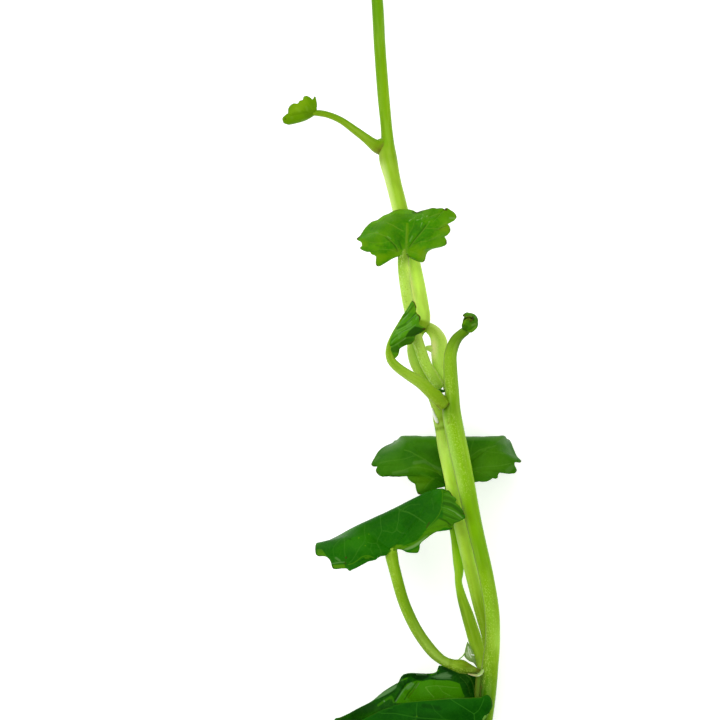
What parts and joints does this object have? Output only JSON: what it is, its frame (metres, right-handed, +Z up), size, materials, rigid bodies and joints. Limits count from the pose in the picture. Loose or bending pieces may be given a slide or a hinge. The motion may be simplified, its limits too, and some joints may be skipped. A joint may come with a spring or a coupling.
{
  "type": "japanese cress shoot",
  "caption": "Cut shoot of a creeping water cress with round lobed leaves, laid on its side as a table or aquarium plant prop",
  "frame": {"origin": "the middle of the footprint, on the surface that the shoot lies on", "axes": "+Z up from the surface, +Y along the shoot from the cut end to the growing tip, +X across it"},
  "size_m": [0.0407, 0.149, 0.0232],
  "materials": {
    "stem": "smooth juicy green stem with a soft sheen, paler in its middle stretch",
    "stalk": "smooth pale green leaf stalk, finely speckled",
    "leaf": "dark green leaf with paler veins and a satin upper side",
    "young_leaf": "young yellow-green leaf, satin",
    "root": "pale cream roots and thin membrane",
    "dry_scale": "dry brown scale, dull"
  },
  "bodies": {
    "root": {"main_stem": "stem", "long_shoot": "stem", "arched_branch": "stem", "upper_leaf_stalk": "stalk", "folded_leaf_stalk": "stalk", "back_leaf_stalk": "stalk", "left_leaf_stalk": "stalk", "top_left_leaf_stalk": "stalk", "crumpled_leaf_stalk": "stalk", "front_leaf_stalk": "stalk", "tip_leaf_left_stalk": "stalk", "tip_leaf_right_stalk": "stalk", "upper_leaf": "leaf", "back_leaf": "leaf", "left_leaf": "leaf", "crumpled_leaf": "leaf", "front_leaf": "leaf", "axil_leaf": "leaf", "folded_leaf": "young_leaf", "curled_leaf": "young_leaf", "top_left_leaf": "young_leaf", "tip_leaf_left": "young_leaf", "tip_leaf_right": "young_leaf", "tip_bud": "young_leaf", "joint_bud": "root", "root_tip": "root", "root_thread": "root", "root_sheath": "root", "joint_rootlet": "root", "dry_scale": "dry_scale"}
  },
  "joints": []
}
